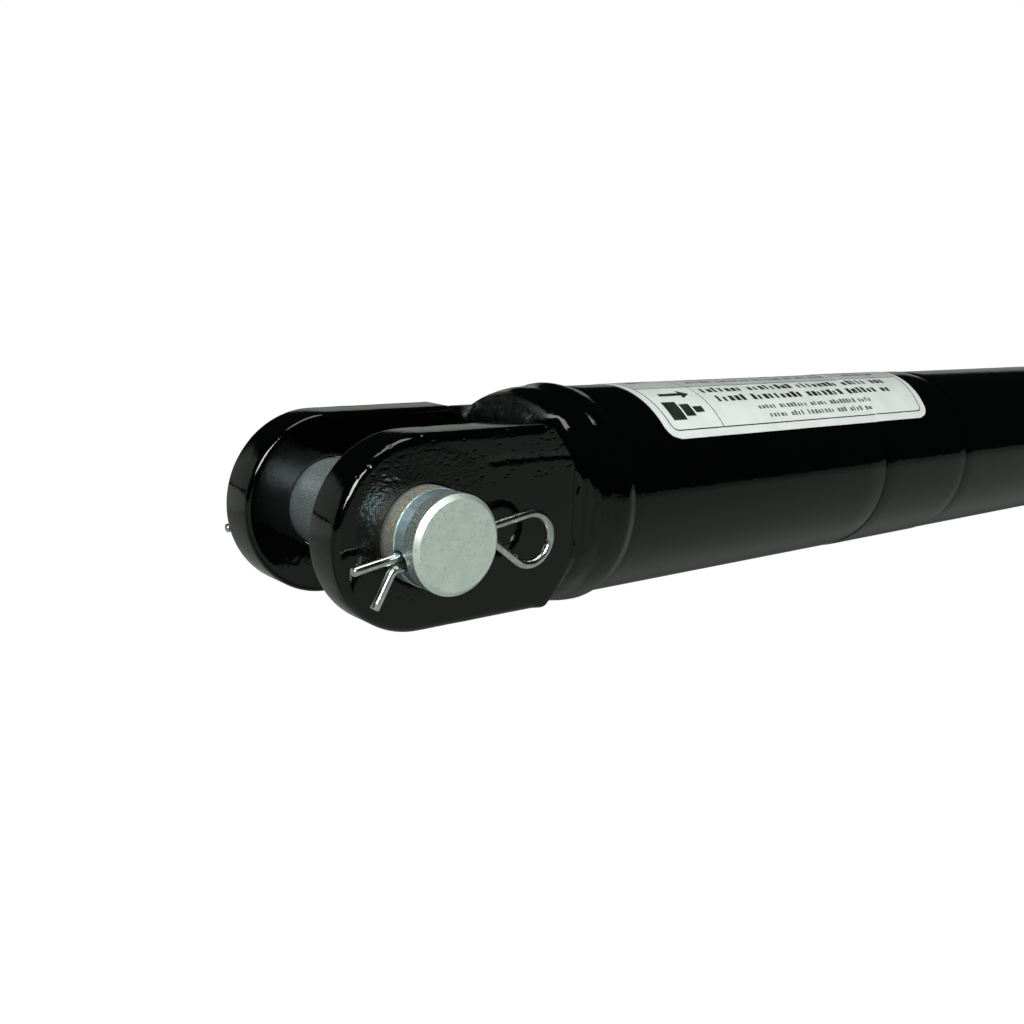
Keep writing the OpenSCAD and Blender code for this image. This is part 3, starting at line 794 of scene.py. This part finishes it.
def make_port_bead():
    """The weld round the boss's foot, which follows the barrel."""
    leg = 4.2
    n = 360
    loops = []
    for i in range(11):
        t = math.pi / 2 * i / 10
        points = []
        for j in range(n):
            turn = 2 * math.pi * j / n
            c, s = math.cos(turn), math.sin(turn)
            ripple = 1 + 0.03 * math.sin(turn * 44 + 2 * t) + 0.05 * bumpy((i * 0.6, 16 * s, 16 * c), 3, 17)
            bulge = (0.72 + 0.28 * math.sin(2 * t)) * ripple
            r = BOSS_R - 0.1 + leg * math.sin(t) * bulge
            rise = leg * math.cos(t) * bulge
            foot = math.sqrt(BARREL_R**2 - (r * s) ** 2)
            points.append((PORT_X + r * c, foot - 0.15 + rise, r * s))
        loops.append(points)
    loops.append(circle_y(25, BOSS_R - 0.2, n))
    own(skin("port_bead", loops, WELD_PAINT["base"], 60), "barrel", "black_paint", "port_weld")


# ---- Pins ------------------------------------------------------------------------------


def cotter_path():
    """The split pin's centre line in its own plane: x along the cross hole, z across it, from leg to leg."""
    leg_z = 1.35
    tip_x = -25.3
    tip_run = 8.9
    loop_x = 28.3
    loop_r = 6.85
    join_x = 13.4
    join_r = 3.0
    bend_x = -13.0
    bend_r = 3.0
    bend = math.radians(52)
    loop_z = leg_z - loop_r
    run = loop_x - join_x
    drop = -leg_z - join_r - loop_z
    neck = math.asin((loop_r + join_r) / math.hypot(run, drop)) + math.atan2(drop, run)
    pts = [(tip_x + i * (loop_x - tip_x) / 26, leg_z) for i in range(26)]
    sweep = math.pi + neck
    pts += [(loop_x + loop_r * math.cos(a), loop_z + loop_r * math.sin(a))
            for a in (math.pi / 2 - sweep * i / 40 for i in range(41))]
    knee = (join_x, -leg_z - join_r)
    pts += [(knee[0] + join_r * math.cos(a), knee[1] + join_r * math.sin(a))
            for a in (math.pi / 2 - neck * (1 - i / 8) for i in range(9))]
    pts += [(join_x + (bend_x - join_x) * i / 12, -leg_z) for i in range(1, 12)]
    pts += [(bend_x + bend_r * math.cos(a), -leg_z - bend_r + bend_r * math.sin(a))
            for a in (math.pi / 2 + bend * i / 10 for i in range(11))]
    x, z = pts[-1]
    pts += [(x - tip_run * math.cos(bend) * i / 5, z - tip_run * math.sin(bend) * i / 5) for i in range(1, 6)]
    return pts


def make_cotter(name, end, side, body, *nodes):
    """Round wire swept along the path, with slightly rounded cut ends. The far one sits the other way up."""
    path = cotter_path()
    slope = math.radians(COTTER_SLOPE)
    drop = COTTER_DROP / math.cos(slope)
    n = 20
    loops = []
    for i, (x, z) in enumerate(path):
        ax, az = path[max(0, i - 1)]
        bx, bz = path[min(len(path) - 1, i + 1)]
        size = math.hypot(bx - ax, bz - az)
        tx, tz = (bx - ax) / size, (bz - az) / size
        scales = [(1.0, 0.0)]
        if i == 0:
            scales = [(0.55, 0.0), (0.86, 0.06), (1.0, 0.3)]
        if i == len(path) - 1:
            scales = [(1.0, -0.3), (0.86, -0.06), (0.55, 0.0)]
        for scale, ahead in scales:
            points = []
            for j in range(n):
                a = 2 * math.pi * j / n
                r = WIRE_R * scale
                px = x + tx * ahead - tz * r * math.cos(a)
                pz = -side * (z + tz * ahead + tx * r * math.cos(a))
                py = r * math.sin(a)
                wx = px * math.cos(slope) - pz * math.sin(slope)
                wz = px * math.sin(slope) + pz * math.cos(slope) - drop
                points.append((wx, PIN_MIDDLE + side * COTTER_APART + py, wz))
            loops.append(at_end(points, end))
    own(skin(name, loops, WIRE, 40, ends=True), body, "zinc_plate", *nodes)


# ---- Label -----------------------------------------------------------------------------

LABEL_LOW = math.radians(34.4)
LABEL_TALL = math.radians(87.6) * BARREL_R


def label_point(x, s, lift):
    """A point on the label: x along the cylinder, s up from its lower edge along the arc."""
    r = BARREL_R + (LAND_R - BARREL_R) * smoothstep(LAND_X[0] - 1.2, LAND_X[0] + 0.6, x) + lift
    turn = LABEL_LOW + s / BARREL_R
    return (x, -r * math.cos(turn), r * math.sin(turn))


def label_left(s):
    """Where the label starts along X, at arc distance s from its lower edge."""
    return 90.0 - 2.0 * s / LABEL_TALL


def label_right(s):
    """Where the label stops along X."""
    return 230.0 + 14.0 * s / LABEL_TALL


def label_sheet(thick):
    """Rows of points over and under the label's film, which has rounded corners and follows the barrel."""
    radius = 5.0
    cols = 150
    rows = 44
    top = []
    under = []
    for i in range(rows + 1):
        s = LABEL_TALL * i / rows
        near = min(s, LABEL_TALL - s)
        cut = radius - math.sqrt(max(0, radius**2 - (radius - near) ** 2)) if near < radius else 0
        a = label_left(s) + cut
        b = label_right(s) - cut
        top.append([label_point(a + (b - a) * j / cols, s, thick) for j in range(cols + 1)])
        under.append([label_point(a + (b - a) * j / cols, s, 0.0) for j in range(cols + 1)])
    return top, under


def make_film(thick):
    """The label's film as one closed sheet."""
    top, under = label_sheet(thick)
    rows = len(top) - 1
    wide = len(top[0])
    verts = [p for row in top + under for p in row]
    off = (rows + 1) * wide
    faces = []
    for i in range(rows):
        for j in range(wide - 1):
            p = i * wide + j
            quad = (p, p + 1, p + wide + 1, p + wide)
            faces.append(quad)
            faces.append(tuple(off + q for q in reversed(quad)))
    rim = list(range(wide)) + [i * wide + wide - 1 for i in range(1, rows + 1)]
    rim += [rows * wide + j for j in range(wide - 2, -1, -1)] + [i * wide for i in range(rows - 1, 0, -1)]
    for a, b in zip(rim, rim[1:] + rim[:1]):
        faces.append((a, b, off + b, off + a))
    own(finish_mesh("label_film_sheet", verts, faces, 45, LABEL), "barrel", "label_film", "label")


class Print:
    """Flat printed shapes, kept as small quads just above the film."""

    def __init__(self, lift):
        self.lift = lift
        self.verts = []
        self.faces = []

    def quad(self, a, b, c, d):
        """Four corners (x, s) in order, split so that the shape follows the barrel."""
        fine = 2.0
        nu = max(1, math.ceil(max(math.dist(a, b), math.dist(d, c)) / fine))
        nv = max(1, math.ceil(max(math.dist(a, d), math.dist(b, c)) / fine))
        base = len(self.verts)
        for i in range(nv + 1):
            v = i / nv
            for j in range(nu + 1):
                u = j / nu
                x = (a[0] * (1 - u) + b[0] * u) * (1 - v) + (d[0] * (1 - u) + c[0] * u) * v
                s = (a[1] * (1 - u) + b[1] * u) * (1 - v) + (d[1] * (1 - u) + c[1] * u) * v
                self.verts.append(label_point(x, s, self.lift))
        for i in range(nv):
            for j in range(nu):
                p = base + i * (nu + 1) + j
                self.faces.append((p, p + 1, p + nu + 2, p + nu + 1))

    def bar(self, x0, x1, s0, s1):
        self.quad((x0, s0), (x1, s0), (x1, s1), (x0, s1))

    def stroke(self, points, width):
        for (x0, s0), (x1, s1) in zip(points, points[1:]):
            size = math.hypot(x1 - x0, s1 - s0)
            nx, ns = -(s1 - s0) / size * width / 2, (x1 - x0) / size * width / 2
            self.quad((x0 - nx, s0 - ns), (x1 - nx, s1 - ns), (x1 + nx, s1 + ns), (x0 + nx, s0 + ns))

    def make(self, name, material):
        own(finish_mesh(name, self.verts, self.faces, 60, material), "barrel", "label_film")


def arc_s(degrees):
    """Arc distance on the label of a height angle above the horizontal."""
    return (math.radians(degrees) - LABEL_LOW) * BARREL_R


def greeked_row(pr, x0, x1, degrees, tall, pitch):
    """A line of dummy print: plain little blocks, grouped like words."""
    low = arc_s(degrees) - tall / 2
    x = x0
    while x < x1 - pitch:
        for _ in range(random.randint(2, 9)):
            if x > x1 - pitch:
                break
            wide = pitch * random.choice((0.45, 0.62, 0.74))
            pr.bar(x, x + wide, low, low + tall * random.choice((0.7, 0.85, 1.0)))
            x += pitch
        x += pitch * 0.85


FILM_THICK = 0.15
PRINT_LIFT = FILM_THICK + 0.025
FRAME_IN = 2.9
PANEL_S = arc_s(76)
TOP_S = LABEL_TALL - FRAME_IN


def frame_left(s):
    """The printed frame's left side along X, at arc distance s."""
    return label_left(s) + FRAME_IN


def frame_right(s):
    """The printed frame's right side along X."""
    return label_right(s) - FRAME_IN


def print_panel():
    """The grey upper part of the label."""
    panel = Print(FILM_THICK + 0.012)
    left = frame_left(LABEL_TALL) + 1.5
    right = frame_right(LABEL_TALL) - 1.5
    panel.quad((frame_left(PANEL_S), PANEL_S), (frame_right(PANEL_S), PANEL_S), (right, TOP_S), (left, TOP_S))
    panel.make("label_panel_print", PANEL)


def print_frame(ink):
    """The frame with round corners, the line across it and the two short lines beside the pictures."""
    r = 2.6
    corners = (
        (frame_left(FRAME_IN) + r, FRAME_IN + r, 180), (frame_right(FRAME_IN) - r, FRAME_IN + r, 270),
        (frame_right(LABEL_TALL) - r, TOP_S - r, 0), (frame_left(LABEL_TALL) + r, TOP_S - r, 90),
    )
    line = []
    for x, s, start in corners:
        for k in range(7):
            a = math.radians(start + 15 * k)
            line.append((x + r * math.cos(a), s + r * math.sin(a)))
    ink.stroke(line + line[:1], 0.42)
    ink.stroke([(frame_left(PANEL_S), PANEL_S), (frame_right(PANEL_S), PANEL_S)], 0.32)
    ink.stroke([(115.8, FRAME_IN), (115.8, PANEL_S)], 0.32)
    ink.stroke([(115.0, PANEL_S), (114.4, TOP_S)], 0.32)


def print_tubes(ink):
    """A plain picture of nested tubes, with an arrow for the way they slide."""
    low = arc_s(44)
    ink.bar(95.5, 101.5, low + 1.2, low + 9.0)
    ink.bar(102.3, 106.6, low + 2.5, low + 7.7)
    ink.bar(107.4, 111.6, low + 3.8, low + 6.4)
    ink.bar(98.0, 107.5, low + 12.1, low + 13.6)
    ink.quad((107.5, low + 10.6), (111.8, low + 12.84), (111.8, low + 12.86), (107.5, low + 15.1))


def make_label():
    """The film and the print on it: a panel, a frame, plain pictures and rows of blocks."""
    make_film(FILM_THICK)
    print_panel()
    bold = Print(PRINT_LIFT)
    print_frame(bold)
    print_tubes(bold)
    greeked_row(bold, 119, 224, 70.5, 3.1, 3.0)
    greeked_row(bold, 122, 220, 61.0, 3.1, 3.0)
    bold.make("label_bold_print", INK)
    fine = Print(PRINT_LIFT)
    greeked_row(fine, 138, 203, 52.0, 2.0, 1.9)
    greeked_row(fine, 141, 200, 45.5, 2.0, 1.9)
    for degrees in (84, 92, 101, 109):
        greeked_row(fine, 120, 228, degrees, 2.2, 2.2)
    fine.bar(96, 101, arc_s(88), arc_s(104))
    fine.bar(102, 106, arc_s(90.5), arc_s(101.5))
    fine.bar(107, 110, arc_s(93), arc_s(99))
    fine.make("label_fine_print", SOFT_INK)


# ---- Build -----------------------------------------------------------------------------

# The half turn that moves a base clevis to the rod end swaps its ears, so near and far change places there
CLEVISES = (
    ("base", "barrel", "base_ear_near", "base_ear_far", "base_clevis_weld"),
    ("rod", "stage_two", "rod_ear_far", "rod_ear_near", "rod_clevis_weld"),
)
for end, body, ear_a, ear_b, weld_node in CLEVISES:
    make_ear(f"{end}_ear_plate_a", end, -1, body, ear_a)
    make_ear(f"{end}_ear_plate_b", end, 1, body, ear_b)
    make_clevis_weld(f"{end}_weld_heap", end, body, weld_node)
make_seam_weld()
make_tube()
make_block()
make_plunger_weld()
make_port_boss()
make_port_thread()
make_port_bead()
make_label()
for end in ("base", "rod"):
    make_cotter(f"{end}_split_pin_near", end, -1, f"{end}_pin", f"{end}_cotters")
    make_cotter(f"{end}_split_pin_far", end, 1, f"{end}_pin")

CAD_LOOKS = {
    "base_plug": PAINT,
    "barrel_gland": GLAND,
    "barrel_guide_band": BAND,
    "barrel_seal": SEAL,
    "barrel_wiper": SEAL,
    "barrel_static_seal": NITRILE,
    "sleeve_tube": CHROME,
    "sleeve_foot_ring": BRONZE,
    "sleeve_stop_ring": STOP,
    "sleeve_gland": GLAND,
    "sleeve_guide_band": BAND,
    "sleeve_seal": SEAL,
    "sleeve_wiper": SEAL,
    "sleeve_static_seal": NITRILE,
    "plunger": CHROME,
    "plunger_foot_ring": BRONZE,
    "plunger_stop_ring": STOP,
    "base_pin": BASE_ZINC,
    "rod_pin": ROD_ZINC,
}
for node, look in CAD_LOOKS.items():
    ob = frame["nodes"][node]
    ob.data.materials.clear()
    ob.data.materials.append(look)

# ---- Stage: floor, backdrop and light --------------------------------------------------


def make_floor():
    """White to the camera. In reflections it glows grey: a painted pool of light, darker far away, with a
    painted shadow right under the cylinder.
    """
    me = bpy.data.meshes.new("floor")
    size = 60
    drop = -0.0405
    corners = [(-size, -size, drop), (size, -size, drop), (size, size, drop), (-size, size, drop)]
    me.from_pydata(corners, [], [(0, 1, 2, 3)])
    ob = bpy.data.objects.new("floor", me)
    scene.collection.objects.link(ob)
    g = Graph("floor")
    length = g.add("ShaderNodeVectorMath", operation="LENGTH")
    g.link(g.coord, length.inputs[0])
    away = length.outputs["Value"]
    # Painted light seen in reflections: brighter near the cylinder, dimmer far away, and brighter behind it
    painted_floor_light = g.times(g.ramp(away, 0.06, 0.35, 0.29, 0.23), g.ramp(away, 0.4, 1.4, 1.0, 0.6))
    painted_floor_light = g.math("MAXIMUM", painted_floor_light, g.ramp(g.axis("Y"), 0.02, 0.25, 0.0, 0.42))
    # Painted shadow right under the cylinder, seen in reflections
    under = g.ramp(g.math("ABSOLUTE", g.axis("Y")), 0.0, 0.024, 0.3, 1.0)
    seen = g.add("ShaderNodeLightPath").outputs["Is Camera Ray"]
    strength = g.add("ShaderNodeMix", data_type="FLOAT")
    g.link(seen, strength.inputs[0])
    g.link(g.times(painted_floor_light, under), strength.inputs[2])
    strength.inputs[3].default_value = 1.0
    g.link(strength.outputs[0], g.bsdf.inputs["Emission Strength"])
    g.link(g.blend(seen, (0.94, 1.04, 0.94, 1), (1, 1, 1, 1)), g.bsdf.inputs["Emission Color"])
    me.materials.append(g.done((0.02, 0.02, 0.02, 1), 0.9))


def make_world():
    """White behind the object. In reflections it is a dark room with a grey sweep low down behind."""
    world = bpy.data.worlds.new("world")
    scene.world = world
    world.use_nodes = True
    g = Nodes(world.node_tree)
    split = g.add("ShaderNodeSeparateXYZ")
    g.link(g.add("ShaderNodeTexCoord").outputs["Generated"], split.inputs[0])
    x, y, z = split.outputs
    # The sweep is taller on the left, lies behind the object and starts just over the horizon
    tall = g.times(g.ramp(z, 0.36, 0.44, 1.0, 0.0), g.ramp(x, -0.35, -0.1, 1.0, 0.0))
    sweep = g.math("MAXIMUM", tall, g.ramp(z, 0.20, 0.28, 1.0, 0.0))
    behind = g.times(sweep, g.ramp(y, 0.25, 0.45), g.ramp(z, 0.015, 0.05))
    room = g.blend(behind, (0.007, 0.008, 0.008, 1), (0.27, 0.30, 0.27, 1))
    seen = g.add("ShaderNodeLightPath").outputs["Is Camera Ray"]
    g.link(g.blend(seen, room, (1, 1, 1, 1)), g.tree.nodes["Background"].inputs["Color"])


def area_light(name, towards, far, width, height, glow):
    """A soft box in the given direction from the base pin, facing it. glow is its brightness."""
    data = bpy.data.lights.new(name, "AREA")
    data.shape = "RECTANGLE"
    data.size = width
    data.size_y = height
    data.energy = glow * math.pi * width * height
    data.color = (0.95, 1.0, 0.96)
    ob = bpy.data.objects.new(name, data)
    scene.collection.objects.link(ob)
    way = Vector(towards).normalized()
    ob.location = way * far + Vector((0.08, 0, 0))
    ob.rotation_euler = way.to_track_quat("Z", "Y").to_euler()
    ob.visible_camera = False


make_floor()
make_world()
area_light("key_softbox", (-0.50, -0.72, 0.48), 1.3, 0.55, 0.55, 16)
area_light("top_softbox", (0.05, -0.15, 1.0), 1.6, 1.0, 0.7, 4)
scene.view_settings.view_transform = "Standard"
